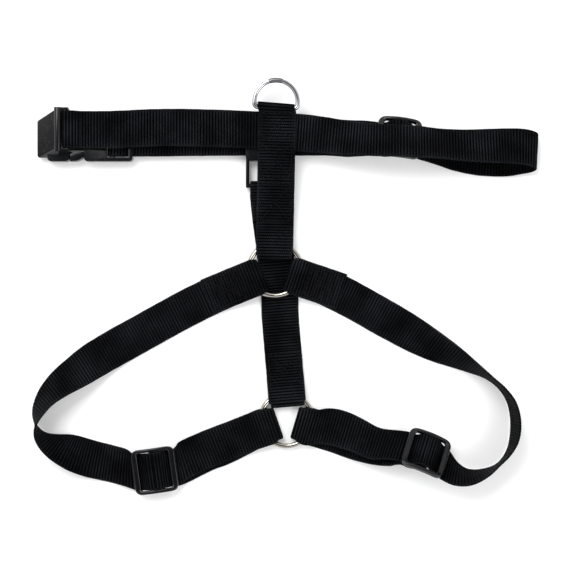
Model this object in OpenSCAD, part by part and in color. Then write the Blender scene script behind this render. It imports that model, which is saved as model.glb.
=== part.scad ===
// Adjustable webbing dog harness, lying flat with its girth strap folded over itself.
// Millimetres, +Z up. The harness rests on z = 0, centred on the origin.

/* [Webbing] */
// Width of the webbing
webbing_w = 25.4; // [24:0.1:25.6]
// Thickness of one layer of webbing
webbing_t = 1.5; // [1:0.1:1.5]
// Thickness of the sewing thread
thread_t = 0.6; // [0.4:0.1:0.8]

/* [Rings] */
// Outer diameter of the two round rings
ring_outer_d = 39; // [38.6:0.1:39.4]
// Wire diameter of the two round rings
ring_wire_d = 3.5; // [3:0.1:3.6]
// Outer width of the leash ring
d_ring_w = 32.5; // [32:0.1:33]
// Wire diameter of the leash ring
d_ring_wire_d = 3.2; // [2.8:0.1:3.3]
// Length of the straight leg beside the leash ring's bar
d_ring_leg = 1.6; // [1.5:0.1:4]

/* [Tri-glides] */
// Length of a tri-glide along its strap
glide_l = 30; // [28:0.5:31]
// Width of a tri-glide across its strap
glide_w = 30.8; // [30.4:0.1:33]
// Diameter of the middle bar of a tri-glide
glide_bar_d = 3.2; // [2.6:0.1:3.4]
// Width of each end bar of a tri-glide
glide_end_w = 4.3; // [3.5:0.1:4.6]
// Highest point of the arched rails above the middle bar's centre
glide_arch_z = 3.6; // [3:0.1:4.5]

/* [Buckle] */
// Length of the closed buckle
buckle_l = 65; // [64:0.5:66]
// Width of the buckle body
buckle_w = 32.4; // [31:0.1:33]
// Thickness of the buckle body
buckle_h = 9; // [8:0.1:9.2]
// Thickness of the receiver's walls
buckle_wall = 1.8; // [1.4:0.1:2]

/* [Hidden] */

black = "#17181b";
plastic = "#222327";
nickel = "#b9b4ab";
chrome = "#d5d8dc";
thread = "#0d0e10";

slip = 0.12;                                   // clearance between webbing and what it wraps
ply = webbing_t + 0.1;                         // step from one stacked layer to the next
floor_z = webbing_t / 2 + 0.05;                // middle of a layer that lies on the ground
ring_lift = (ring_wire_d + webbing_t) / 2 + slip;
bar_lift = (glide_bar_d + webbing_t) / 2 + 0.15;

// Where the hardware lies
upper_ring_at = [-6.8, 12.2, 2.6 + ring_lift];
lower_ring_at = [1, -90.4, floor_z + ring_lift];
d_bar_at = [-6.2, 122, 12.05];
d_ring_yaw = 87.5;
left_glide_at = [-88.7, -124.6, 6.6];
left_glide_yaw = 8;
right_glide_at = [95.3, -111.9, 15.4];
right_glide_yaw = 158;
right_glide_roll = 37;
girth_glide_at = [77.2, 101.2, 12.0];
girth_glide_yaw = 173;
girth_glide_roll = 27;
keeper_at = [-11.2, 102.6, 1.7];
buckle_at = [-168.6, 102, 0.4];

// ---------- routes of the webbing ----------
// A route point is [x, y, z, azimuth of the width, lift of the width, half width].

half_w = webbing_w / 2;

function turned(p, yaw, roll) =
    let (y = p.y * cos(roll) - p.z * sin(roll), z = p.y * sin(roll) + p.z * cos(roll))
    [p.x * cos(yaw) - y * sin(yaw), p.x * sin(yaw) + y * cos(yaw), z];

// A profile [along, up] or [along, up, half width] in a strap's own upright plane
function placed(at, yaw, roll, profile) = [for (p = profile)
    concat(at + turned([p.x, 0, p.y], yaw, roll), [yaw + 90, roll, len(p) > 2 ? p.z : half_w])];

// Points on the ground plan, [x, y, z, azimuth, lift]
function laid(points) = [for (p = points) concat(p, [half_w])];

function reversed(list) = [for (i = [len(list) - 1:-1:0]) list[i]];

function spline(a, b, c, d, t) =
    0.5 * (2 * b + (c - a) * t + (2 * a - 5 * b + 4 * c - d) * t * t
        + (3 * b - a - 3 * c + d) * t * t * t);

function smooth(route, steps) =
    let (last = len(route) - 1)
    concat([for (i = [0:last - 1], k = [0:steps - 1])
        spline(route[max(i - 1, 0)], route[i], route[i + 1], route[min(i + 2, last)], k / steps)],
        [route[last]]);

function place(p) = [p[0], p[1], p[2]];
function side_of(p) = [cos(p[4]) * cos(p[3]), cos(p[4]) * sin(p[3]), sin(p[4])];
function unit(v) = v / norm(v);
function face_of(line, i) =
    let (last = len(line) - 1)
    unit(cross(place(line[min(i + 1, last)]) - place(line[max(i - 1, 0)]), side_of(line[i])));

// A band swept along a smoothed line of route points
module band(line, thick) {
    last = len(line) - 1;
    corners = [for (i = [0:last])
        let (c = place(line[i]), s = side_of(line[i]) * line[i][5], n = face_of(line, i) * thick / 2)
        each [c + s + n, c - s + n, c - s - n, c + s - n]];
    walls = [for (i = [0:last - 1], k = [0:3])
        let (a = 4 * i + k, b = 4 * i + (k + 1) % 4)
        each [[a, b, b + 4], [a, b + 4, a + 4]]];
    ends = [[0, 2, 1], [0, 3, 2], [4 * last, 4 * last + 1, 4 * last + 2],
        [4 * last, 4 * last + 2, 4 * last + 3]];
    polyhedron(points = corners, faces = [for (f = concat(walls, ends)) [f[2], f[1], f[0]]]);
}

module webbing(route, steps = 3) {
    band(smooth(route, steps), webbing_t);
}

// A point across and above a line, at a place counted in line steps
function on_line(line, s, across, above) =
    let (i = min(floor(s), len(line) - 2), t = s - i, a = line[i], b = line[i + 1],
        side = side_of(a) * (1 - t) + side_of(b) * t,
        face = face_of(line, i) * (1 - t) + face_of(line, i + 1) * t)
    place(a) * (1 - t) + place(b) * t + side * across + face * above;

// A row of thread laid on a line from [s, across] to [s, across]
module seam(line, from, to, above, steps = 6) {
    rows = [for (k = [0:steps])
        let (p = from + (to - from) * k / steps)
        on_line(line, p.x, p.y, above)];
    dir = unit(rows[steps] - rows[0]);
    turn = unit(cross(face_of(line, floor(from.x)), dir));
    az = atan2(turn.y, turn.x);
    band([for (r = rows) [r.x, r.y, r.z, az, asin(turn.z), thread_t / 2]], thread_t);
}

// A stitched box with a cross, on a line between two places
module cross_box(line, s0, s1, half, above) {
    seam(line, [s0, -half], [s1, -half], above);
    seam(line, [s0, half], [s1, half], above);
    seam(line, [s0, -half + thread_t], [s0, half - thread_t], above);
    seam(line, [s1, -half + thread_t], [s1, half - thread_t], above);
    seam(line, [s0, -half], [s1, half], above + sign(above) * thread_t * 0.9);
    seam(line, [s0, half], [s1, -half], above + sign(above) * thread_t * 1.8);
}

// Round a ring's wire: from the lower layer to the upper one, apex at the given reach
function ring_fold(reach, narrow = half_w) =
    [for (a = [270:-30:90]) [reach + ring_lift * (1 + cos(a)), ring_lift * sin(a),
        a == 180 ? narrow - 0.8 : narrow]];

// Layers at a ring, away from its wire: the upper one comes down onto the lower one
ring_upper = [[13, 2.63], [17.75, 2.66], [21, 2], [25, 0.6], [30, -0.7], [36, 1.6 - ring_lift]];

// Sewn layer coming in to a tri-glide's middle bar, round it, and its tail
sewn_in = [[30, -5.8], [14, -5.8], [9, -5.6], [5.6, -4.7], [3, -3.45]];
sewn_wrap = [for (a = [270:-30:0]) [bar_lift * cos(a), bar_lift * sin(a)]];
sewn_tail = [[3.5, -1.5], [5.6, -2.95], [9, -3.9], [14, -4.2], [22, -4.2], [31, -4.2]];
// Running layer that rises over the bar, from its crown down to the ring side
over_bar = [[0.18, 4.2], [3.8, 3.4], [6.2, 1.3], [8.4, -1.2], [10.4, -2.55], [13, -2.75], [16, -2.9]];
under_bar_end = [[-22, -5.4], [-13, -2.9], [-10.4, -2.6], [-8.4, -1.2], [-6.2, 1.3],
    [-3.8, 3.4], [-0.18, 4.2]];

// The same points with the width measured from the other edge
function swapped(route, turn = -180) =
    [for (p = route) [p[0], p[1], p[2], p[3] + turn, -p[4], p[5]]];
function rolled_over(route) =
    [for (p = route) [p[0], p[1], p[2], p[3] + 360, p[4] + 180, p[5]]];

// Back strap: two layers from the upper ring to the leash ring, sewn round the girth strap
back_yaw = 88.8;
back_reach = 7.4;
back_start = [-7.4, upper_ring_at.y, 0];
function back_placed(profile) = placed(back_start, back_yaw, 0, profile);
function raised(profile, z) =
    [for (p = profile) len(p) > 2 ? [p.x, p.y + z, p.z] : [p.x, p.y + z]];
back_top_route = concat(
    back_placed([[13, 7.85], [17.75, 7.9], [21, 7.3], [25, 6.5], [30, 6.1], [40, 7.6],
        [50, 9.6], [60, 11.55], [68, 12.1], [75, 12.4], [81, 13.55], [88, 13.75], [104, 13.8],
        [107, 14.1]]));
back_under_route = back_placed([[107, 10.05], [103, 10.4], [66, 10.4], [60, 9.9], [50, 7.9],
    [41, 6.05]]);
d_wrap_r = (d_ring_wire_d + webbing_t) / 2 + 0.15;
back_route = concat(
    back_placed([[40.6, 5.95], [30, 4.1], [24, 3], [18.5, 2.6], [13, 2.6]]),
    back_placed(raised(ring_fold(back_reach, 11.5), upper_ring_at.z)),
    back_top_route,
    placed(d_bar_at, d_ring_yaw, 0, [for (a = [90:-30:-90]) d_wrap_r * [cos(a), sin(a)]]),
    back_under_route);

// Belly strap: from the lower ring up to the keeper on the girth
belly_yaw = 94.8;
belly_start = [2.6, lower_ring_at.y, 0];
keeper_bar_d = 3;
keeper_bar_y = -33;
keeper_bar_z = floor_z + (keeper_bar_d + webbing_t) / 2 + slip;
keeper_lift = keeper_bar_z - floor_z;
function belly_placed(profile) = placed(belly_start, belly_yaw, 0, profile);
belly_tail_route = belly_placed(
    raised(concat([[48, ply - ring_lift]], reversed(ring_upper)), lower_ring_at.z));
belly_route = concat(
    belly_tail_route,
    belly_placed(reversed(raised(ring_fold(9.6, 10), lower_ring_at.z))),
    belly_placed([[14, floor_z], [40, floor_z], [70, floor_z]]),
    laid([[-3.8, -4, floor_z, 184.8, 0], [-7, 27, floor_z, 184.5, 0],
        [-9.8, 48, floor_z, 183, 0], [-11, 60, floor_z, 181, 0]]),
    placed([keeper_at.x, keeper_at.y + keeper_bar_y, 0], 90, 0, concat(
        [for (a = [270:30:450]) [keeper_lift * cos(a), keeper_bar_z + keeper_lift * sin(a)]],
        [[-4, 4.7], [-9, 3]])),
    laid([[-9.8, 55, floor_z + ply, 182, 0], [-9.2, 46, floor_z + ply, 183, 0]]));

// Left neck strap: tail, upper ring, round the shoulder to the tri-glide
left_yaw_up = 202;
left_tail_route = placed(upper_ring_at, left_yaw_up, 0, [[50, -2.75], [44, -2.75], [36, -1.75],
    [30, -0.4], [25, 1], [21, 2.1], [17.75, 2.66], [13, 2.63]]);
left_neck_route = concat(
    left_tail_route,
    placed(upper_ring_at, left_yaw_up, 0, concat(reversed(ring_fold(9.8, 10.4)),
        [[14, -ring_lift], [20, -2.62], [26, -3.3], [34, -4.2]])),
    laid([[-49.6, -5.6, floor_z, 294, 0], [-66, -13.6, floor_z, 296, 0],
        [-82.3, -22.4, floor_z, 298, 0], [-98.6, -31.5, floor_z, 299, 0],
        [-115, -40.6, 1.15, 300, 1], [-130.6, -49.8, 3.5, 303, 11], [-142.8, -58.2, 6.6, 308, 26],
        [-153.6, -66, 9.2, 315, 41], [-162.2, -74.6, 11.4, 324, 54],
        [-167.6, -84.4, 12.8, 338, 66], [-168.9, -92.6, 13.6, 356, 80],
        [-166, -99.6, 13.8, 380, 97], [-159.8, -104.4, 12.6, 403, 117],
        [-152, -108.8, 9.2, 420, 139], [-142.8, -113.4, 5.2, 432, 160],
        [-132.4, -117.2, 2.3, 438, 174], [-120, -120.3, 1, 442, 180],
        [-109.5, -123, 2.4, 446, 180]]),
    rolled_over(placed(left_glide_at, left_glide_yaw, 0, [for (i = [1:6]) under_bar_end[i]])));

left_loop_back = 199;
left_loop_route = concat(
    placed(left_glide_at, left_glide_yaw, 0, over_bar),
    laid([[-68.5, -117.4, 4.1, 108, 0], [-55, -111.3, 3.3, 112, 0], [-42, -106.2, 2.5, 112, 0],
        [-32, -102.4, 2.5, 110, 0]]),
    swapped(placed(lower_ring_at, left_loop_back, 0, concat(
        reversed([[13, 2.63], [17.75, 2.66], [21, 2], [25, 0.8]]),
        reversed(ring_fold(6.5, 9.6)), [[13, -ring_lift], [22, -ring_lift]]))),
    laid([[-42, -108.6, floor_z, 112, 0], [-55, -113.6, floor_z, 111, 0]]),
    placed(left_glide_at, left_glide_yaw, 0,
        concat([[18, -5.8], [12, -5.8]], [for (i = [2:4]) sewn_in[i]], sewn_wrap,
            [for (i = [0:3]) sewn_tail[i]])),
    laid([[-68, -117.8, 2.42, 108, 0], [-59, -114.4, 2.42, 111, 0]]));

// Right neck strap: tail, upper ring, on edge round the shoulder to the tri-glide
right_yaw_up = 341.5;
right_tail_route = placed(upper_ring_at, right_yaw_up, 0, [[48, -2.75], [42, -2.75], [36, -1.75],
    [30, -0.4], [25, 1], [21, 2.1], [17.75, 2.66], [13, 2.63]]);
right_neck_route = concat(
    right_tail_route,
    placed(upper_ring_at, right_yaw_up, 0, concat(reversed(ring_fold(9.8, 10.4)),
        [[14, -ring_lift], [20, -2.62], [26, -3.3], [34, -4.2]])),
    laid([[40, -5.4, floor_z, 426, 0], [52, -11.8, floor_z + 0.1, 423, 0],
        [64.6, -19, 1.8, 421, 3], [78, -26.6, 4, 420, 13], [91.6, -34.6, 6.4, 418, 26],
        [104.4, -41.9, 8.9, 417, 41], [116.2, -48.2, 11.4, 416, 57],
        [127.4, -54.6, 13, 413, 72], [138, -61, 13.5, 404, 84], [147, -68.4, 13.5, 393, 86],
        [153.4, -78, 13.6, 377, 84], [156, -90, 13.6, 362, 83],
        [155.2, -102, 13.6, 346, 85], [151.2, -112, 13.6, 328, 92],
        [144, -120.2, 13.6, 306, 95], [134.6, -125.8, 13.6, 284, 84],
        [124.5, -128.2, 13.6, 266, 71], [115, -125.6, 13.8, 250, 56]]),
    placed(right_glide_at, right_glide_yaw, right_glide_roll,
        [for (i = [1:6]) under_bar_end[i]]));

right_loop_back = 343.5;
right_loop_route = concat(
    placed(right_glide_at, right_glide_yaw, right_glide_roll, over_bar),
    laid([[73, -106.6, 11.9, 246, 38], [61, -105.8, 10.3, 249, 33],
        [48, -99.9, 8.4, 251, 24], [36, -95.8, 5.6, 253, 10], [27, -94.6, 4.4, 255, 3]]),
    swapped(placed(lower_ring_at, right_loop_back, 0, concat(
        reversed([[13, 2.63], [17.75, 2.66]]),
        reversed(ring_fold(6.5, 9.6)), [[13, -ring_lift], [22, -ring_lift]]))),
    laid([[36, -101, floor_z, 252, 0], [48, -105.2, floor_z + 0.7, 249, 2],
        [60, -108.4, 4, 247, 13], [72, -110.6, 6.8, 245, 28]]),
    placed(right_glide_at, right_glide_yaw, right_glide_roll,
        concat([[14, -5.8]], [for (i = [2:4]) sewn_in[i]], sewn_wrap,
            [for (i = [0:3]) sewn_tail[i]])),
    laid([[75.6, -110.6, 9.9, 245, 32], [70, -110, 8.2, 246, 27]]));

// Girth strap: from the buckle plug over the back, round the fold and back to the tri-glide
plug_bar_at = [-147.6, 107, 13.2];
girth_join_x = -139;
girth_route = concat(
    laid([[girth_join_x + 0.15, 106.8, 13.7, 90, 0], [-132, 106.8, 12.8, 90, 0],
        [-117, 106.9, 12.5, 90, 0], [-95, 108, 12.5, 90, 0], [-77, 108.4, 12.4, 90, 0],
        [-53, 108, 12.1, 90, 0], [-30, 107.2, 12.05, 90, 0], [-7, 106, 12.05, 87, 0],
        [12, 104.7, 12.1, 86, 0], [24, 103.4, 12.9, 85, -6], [43, 101, 15, 84, -19],
        [62, 99.4, 18.6, 87, -26], [77, 98.8, 19.7, 88, -27], [90, 98.2, 18.8, 88, -28],
        [105, 97.2, 15.6, 88, -32], [120, 96.2, 13.8, 89, -28], [136, 96, 12.4, 90, -22],
        [152, 96, 11.6, 90, -15], [162, 95.4, 11, 88, -11], [168.6, 94, 9.4, 87, -9],
        [171.4, 92.4, 6.4, 86, -8], [168.6, 91, 3.2, 86, -7], [162, 90, 2.2, 87, -4],
        [150, 88.6, 1.3, 90, -2], [134, 89.2, 0.95, 87, 0], [118, 92, 1.9, 83, -3],
        [104, 95.8, 5, 82, -14]]),
    swapped(placed(girth_glide_at, girth_glide_yaw, girth_glide_roll,
        [for (i = [1:6]) under_bar_end[i]])));

receiver_bar = [51, 0, 4.8];
receiver_bar_d = 3.2;
girth_loop_route = concat(
    placed(girth_glide_at, girth_glide_yaw, girth_glide_roll, over_bar),
    laid([[54, 101.6, 8.2, 267, 15], [42, 101.6, 6.6, 269, 6], [28, 102.6, 6.05, 270, 0],
        [8, 102.6, 6.05, 270, 0], [-40, 102.4, 6.05, 270, 0], [-90, 102, 6.05, 270, 0],
        [-104, 102, 6.05, 270, 0], [-109, 102, 6.3, 270, 0]]),
    placed([buckle_at.x + receiver_bar.x, buckle_at.y, buckle_at.z + receiver_bar.z], 180, 0,
        [for (a = [110:-28:-114]) bar_lift * [cos(a), sin(a)]]),
    laid([[-109, 102, 4, 270, 0], [-104, 102, 4.35, 270, 0], [-90, 102, 4.4, 270, 0],
        [-40, 102.6, 4.4, 270, 0], [8, 102.6, 4.4, 270, 0], [28, 102.6, 4.35, 270, 0],
        [42, 101.6, 4.6, 269, 5], [54, 101.6, 5.3, 267, 14]]),
    placed(girth_glide_at, girth_glide_yaw, girth_glide_roll,
        concat([[14, -5.5]], [for (i = [2:4]) sewn_in[i]], sewn_wrap,
            [for (i = [0:3]) sewn_tail[i]])));

girth_end_route = concat(
    laid([[girth_join_x - 0.15, 106.8, 13.7, 90, 0]]),
    placed(plug_bar_at, 0, 0, concat([[3.6, 2.1]],
        [for (a = [80:32:272]) bar_lift * [cos(a), sin(a)]],
        [[4, -2.62], [12, -2.7], [22, -2.7], [28, -2.7]])));

// ---------- hardware ----------

module o_ring(at) {
    translate(at)
        rotate_extrude($fn = 96) translate([(ring_outer_d - ring_wire_d) / 2, 0])
            circle(d = ring_wire_d, $fn = 32);
}

module leash_d_ring() {
    bend_r = 2.2;
    leg_x = (d_ring_w - d_ring_wire_d) / 2;
    color(chrome) translate(d_bar_at) rotate([0, 0, d_ring_yaw - 90]) {
        rotate([0, 90, 0])
            cylinder(d = d_ring_wire_d, h = 2 * (leg_x - bend_r), center = true, $fn = 32);
        for (s = [-1, 1]) {
            translate([s * (leg_x - bend_r), bend_r, 0])
                rotate([0, 0, s > 0 ? -90 : 180]) rotate_extrude(angle = 90, $fn = 32)
                    translate([bend_r, 0]) circle(d = d_ring_wire_d, $fn = 32);
            translate([s * leg_x, bend_r, 0]) rotate([-90, 0, 0])
                cylinder(d = d_ring_wire_d, h = d_ring_leg, $fn = 32);
        }
        translate([0, bend_r + d_ring_leg, 0]) rotate_extrude(angle = 180, $fn = 96)
            translate([leg_x, 0]) circle(d = d_ring_wire_d, $fn = 32);
    }
}

module rounded_block(l, w, h, r) {
    translate([-l / 2 + r, -w / 2, 0]) cube([l - 2 * r, w, h]);
    translate([-l / 2, -w / 2 + r, 0]) cube([l, w - 2 * r, h]);
    for (x = [-1, 1], y = [-1, 1])
        translate([x * (l / 2 - r), y * (w / 2 - r), 0]) cylinder(r = r, h = h, $fn = 32);
}

glide_base_z = -1.5;
glide_window_w = 26.2;

// Frame with two windows, its middle bar centred on the origin, its strap along X
module triglide() {
    arch_r = 42;
    difference() {
        intersection() {
            translate([0, 0, glide_base_z])
                rounded_block(glide_l, glide_w, glide_arch_z - glide_base_z, 3.5);
            translate([0, 0, glide_arch_z - arch_r]) rotate([90, 0, 0])
                cylinder(r = arch_r, h = glide_w + 1, center = true, $fn = 128);
        }
        translate([-glide_l / 2 + glide_end_w, -glide_window_w / 2, glide_base_z - 1])
            cube([glide_l - 2 * glide_end_w, glide_window_w, glide_arch_z - glide_base_z + 2]);
    }
    rotate([90, 0, 0])
        cylinder(d = glide_bar_d, h = glide_window_w + 1, center = true, $fn = 32);
}

module placed_triglide(at, yaw, roll) {
    color(plastic) translate(at) rotate([0, 0, yaw]) rotate([roll, 0, 0]) triglide();
}

module belly_keeper() {
    l = 31;
    w = 33;
    h = 7.6;
    wall = 1.5;
    rail = 3;
    arm_w = 2.4;
    bar_y = keeper_bar_y;
    color(plastic) translate(keeper_at) {
        difference() {
            rounded_block(l, w, h, 3);
            translate([-l / 2 - 1, -w / 2 + rail, wall]) cube([l + 2, w - 2 * rail, h - 2 * wall]);
        }
        for (s = [-1, 1])
            translate([s * (l / 2 - arm_w / 2) - arm_w / 2, bar_y - keeper_bar_d / 2, 0])
                cube([arm_w, -w / 2 + 2.5 - bar_y + keeper_bar_d / 2, keeper_bar_d]);
        translate([0, bar_y, keeper_bar_z - keeper_at.z]) rotate([0, 90, 0])
            cylinder(d = keeper_bar_d, h = l - 1, center = true, $fn = 32);
    }
}

// Side-release buckle, its own frame from the plug's outer edge along X
mouth_x = 32;
cavity_end_x = 45;
body_end_x = 47.3;
frame_rail = 2.6;
prong_root_x = 22.3;
prong_pivot = [23.6, 11.4];

module buckle_receiver() {
    inner_w = buckle_w - 2 * frame_rail;
    end_bar_x = 62.4;
    color(plastic) translate(buckle_at) difference() {
        union() {
            translate([(mouth_x + buckle_l) / 2, 0, 0])
                rounded_block(buckle_l - mouth_x, buckle_w, buckle_h, 2.5);
            translate(receiver_bar) rotate([90, 0, 0])
                cylinder(d = receiver_bar_d, h = inner_w + 1, center = true, $fn = 32);
        }
        translate([mouth_x - 1, -inner_w / 2, buckle_wall])
            cube([cavity_end_x - mouth_x + 1, inner_w, buckle_h - 2 * buckle_wall]);
        difference() {
            translate([body_end_x, -inner_w / 2, -1])
                cube([end_bar_x - body_end_x, inner_w, buckle_h + 2]);
            translate(receiver_bar) rotate([90, 0, 0])
                cylinder(d = receiver_bar_d, h = inner_w + 1, center = true, $fn = 32);
        }
        translate([end_bar_x - 1, -inner_w / 2, -1]) cube([5, inner_w, 7.9]);
    }
}

module buckle_plug() {
    cheek_w = 1.8;
    cheek_in = 13;
    upper_y = plug_bar_at.y - buckle_at.y;
    bar_x = plug_bar_at.x - buckle_at.x;
    bar_z = plug_bar_at.z - buckle_at.z;
    color(plastic) translate(buckle_at) {
        translate([14.6, 0, 0]) rounded_block(14.8, buckle_w, buckle_h, 2.5);
        translate([21, -3.6, 3.2]) cube([21, 7.2, 2.6]);
        translate([21, -8.5, 0.8]) cube([10.6, 17, 1.4]);
        translate([41, -3.6, 3.2]) cube([2.5, 7.2, 2.6]);
        hull() {
            translate([1.6, -12, 3]) cylinder(r = 1.6, h = 3, $fn = 24);
            translate([1.6, 10.5, 3]) cylinder(r = 1.6, h = 3, $fn = 24);
            translate([9, -13.5, 2]) cube([5, 28, 5]);
            translate([13, upper_y - cheek_in, 11.6]) cube([3, 2 * cheek_in, 3]);
        }
        translate([12.6, upper_y - cheek_in, 8]) cube([3, 2 * cheek_in, 7.4]);
        translate([14.9, upper_y, 14.3]) rotate([90, 0, 0])
            cylinder(r = 2.4, h = 2 * (cheek_in + cheek_w), center = true, $fn = 32);
        translate([12.6, upper_y - cheek_in, 7]) cube([5.6, 2 * cheek_in, 2.2]);
        for (s = [-1, 1])
            translate([12.6, upper_y + s * (cheek_in + cheek_w / 2) - cheek_w / 2, 7])
                cube([9.4, cheek_w, 8.2]);
        translate([bar_x, upper_y, bar_z]) rotate([90, 0, 0])
            cylinder(d = glide_bar_d, h = 2 * cheek_in + 1, center = true, $fn = 32);
    }
}

// One spring arm with its thumb pad; side is +1 or -1
module prong(side) {
    arm_w = 3.2;
    color(plastic) translate(buckle_at) mirror([0, side > 0 ? 0 : 1, 0]) {
        translate([prong_root_x, 9.6, 2.6]) cube([20, arm_w, 3.6]);
        intersection() {
            translate([prong_root_x, 9.6, 0.8]) cube([9.2, 6.4, 7.4]);
            translate([24.5, 6.2, 0]) cylinder(r = 10, h = 9, $fn = 64);
        }
    }
}

module back_strap() { color(black) webbing(back_route); }
module belly_strap() { color(black) webbing(belly_route); }
module girth_strap() { color(black) webbing(girth_route); }
module girth_adjusting_loop() { color(black) webbing(girth_loop_route); }
module girth_end_loop() { color(black) webbing(girth_end_route); }
module left_neck_strap() { color(black) webbing(left_neck_route); }
module left_adjusting_loop() { color(black) webbing(left_loop_route); }
module right_neck_strap() { color(black) webbing(right_neck_route); }
module right_adjusting_loop() { color(black) webbing(right_loop_route); }

thread_lift = (webbing_t + thread_t) / 2 + 0.08;

// ---------- stitching ----------

module back_stitching() {
    top = smooth(back_top_route, 3);
    color(thread) {
        cross_box(top, 28.5, 38, 10, thread_lift);
        cross_box(top, 20, 27, 10, thread_lift);
        cross_box(top, 9, 19, 10, thread_lift);
    }
}

// A sewn tail's box, on a route that starts at the tail's cut end
module tail_stitching(route, from, to) {
    color(thread) cross_box(smooth(route, 3), from, to, 9.5, -thread_lift);
}

leash_d_ring();
color(nickel) o_ring(upper_ring_at);  // upper_o_ring
color(nickel) o_ring(lower_ring_at);  // lower_o_ring
back_strap();
back_stitching();
belly_strap();
tail_stitching(belly_tail_route, 1, 9);  // belly_stitching
belly_keeper();
girth_strap();
girth_adjusting_loop();
girth_end_loop();
placed_triglide(girth_glide_at, girth_glide_yaw, girth_glide_roll);  // girth_triglide
buckle_receiver();
buckle_plug();
prong(1);  // buckle_prong_upper
prong(-1);  // buckle_prong_lower
left_neck_strap();
tail_stitching(left_tail_route, 1, 10);  // left_tail_stitching
left_adjusting_loop();
placed_triglide(left_glide_at, left_glide_yaw, 0);  // left_triglide
right_neck_strap();
tail_stitching(right_tail_route, 1, 10);  // right_tail_stitching
right_adjusting_loop();
placed_triglide(right_glide_at, right_glide_yaw, right_glide_roll);  // right_triglide
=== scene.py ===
"""Webbing dog harness laid flat: what it looks like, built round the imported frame."""

import math

import bmesh
import bpy
import numpy as np
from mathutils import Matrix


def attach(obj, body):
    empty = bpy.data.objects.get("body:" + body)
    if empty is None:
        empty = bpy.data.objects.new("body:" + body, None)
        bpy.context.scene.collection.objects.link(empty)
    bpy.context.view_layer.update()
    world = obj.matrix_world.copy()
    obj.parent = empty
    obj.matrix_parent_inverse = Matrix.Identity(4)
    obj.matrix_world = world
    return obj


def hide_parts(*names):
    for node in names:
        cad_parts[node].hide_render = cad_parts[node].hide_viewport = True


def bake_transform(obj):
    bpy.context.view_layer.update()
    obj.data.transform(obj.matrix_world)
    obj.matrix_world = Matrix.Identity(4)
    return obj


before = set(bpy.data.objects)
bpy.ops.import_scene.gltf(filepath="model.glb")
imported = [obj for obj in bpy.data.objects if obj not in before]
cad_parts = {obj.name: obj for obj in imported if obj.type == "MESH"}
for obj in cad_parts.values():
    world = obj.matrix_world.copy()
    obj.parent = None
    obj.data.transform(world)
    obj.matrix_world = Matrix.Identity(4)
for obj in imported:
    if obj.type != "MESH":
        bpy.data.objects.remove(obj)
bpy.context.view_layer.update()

MM = 0.001

# ---------- sizes, in millimetres ----------

WEBBING_W = 25.4
WEBBING_T = 1.5
HALF_W = WEBBING_W / 2
SLIP = 0.12
PLY = WEBBING_T + 0.1
FLOOR_Z = WEBBING_T / 2 + 0.05
RIB_PITCH = 2.0
RIB_DEPTH = 0.42
ROWS_PER_RIB = 6

RING_OUTER_D = 39.0
RING_WIRE_D = 3.5
RING_LIFT = (RING_WIRE_D + WEBBING_T) / 2 + SLIP
D_RING_W = 32.5
D_RING_WIRE_D = 3.2
D_RING_LEG = 3.8
D_RING_BEND_R = 2.2
D_WRAP_R = (D_RING_WIRE_D + WEBBING_T) / 2 + 0.15

GLIDE_L = 30.0
GLIDE_W = 30.8
GLIDE_CORNER_R = 3.4
GLIDE_BAR_L = 27.2
GLIDE_BAR_D = 3.2
GLIDE_END_W = 4.3
GLIDE_WINDOW_W = 25.8
GLIDE_ARCH_R = 42
GLIDE_ARCH_Z = 3.6
GLIDE_BASE_Z = -1.5
GLIDE_BASE_RISE = 0.9
FLARE_START = 5     # where a tri-glide's rails start to widen into its ends, from the end
FLARE_L = 3
BAR_LIFT = (GLIDE_BAR_D + WEBBING_T) / 2 + 0.15

UPPER_RING_AT = (-6.8, 12.2, 2.6 + RING_LIFT)
LOWER_RING_AT = (1, -90.4, FLOOR_Z + RING_LIFT)
D_BAR_AT = (-6.2, 122, 12.05)
D_RING_YAW = 87.5
LEFT_GLIDE = dict(at=(-88.7, -124.6, 6.6), yaw=8, roll=0)
RIGHT_GLIDE = dict(at=(95.3, -111.9, 15.4), yaw=158, roll=37)
GIRTH_GLIDE = dict(at=(77.2, 101.2, 12.0), yaw=173, roll=27)
KEEPER_AT = (-11.2, 102.6, 1.7)
KEEPER_BAR_Y = -33
KEEPER_BAR_D = 3.0
BUCKLE_AT = (-168.6, 102, 0.4)
RECEIVER_BAR = (51, 0, 4.8)
PLUG_BAR_AT = (-147.6, 107, 13.2)
GIRTH_JOIN_X = -139


# ---------- routes of the webbing, as the frame has them ----------
# A route point is (x, y, z, azimuth of the width, lift of the width, half width).


def placed(at, yaw, roll, profile):
    """A profile of (along, up) or (along, up, half width) in a strap's own upright plane."""
    a, r = math.radians(yaw), math.radians(roll)
    points = []
    for p in profile:
        side, up = -p[1] * math.sin(r), p[1] * math.cos(r)
        x = p[0] * math.cos(a) - side * math.sin(a)
        y = p[0] * math.sin(a) + side * math.cos(a)
        half = p[2] if len(p) > 2 else HALF_W
        points.append((at[0] + x, at[1] + y, at[2] + up, yaw + 90, roll, half))
    return points


def laid(*points):
    return [tuple(p) + (HALF_W,) for p in points]


def raised(profile, z):
    return [(p[0], p[1] + z, *p[2:]) for p in profile]


def swapped(route):
    """The same points with the width measured from the other edge."""
    return [(p[0], p[1], p[2], p[3] - 180, -p[4], p[5]) for p in route]


def rolled_over(route):
    return [(p[0], p[1], p[2], p[3] + 360, p[4] + 180, p[5]) for p in route]


def arc(radius, first, step, last, centre=(0, 0)):
    count = int(round((last - first) / step)) + 1
    angles = [math.radians(first + step * i) for i in range(count)]
    return [(centre[0] + radius * math.cos(a), centre[1] + radius * math.sin(a)) for a in angles]


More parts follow.
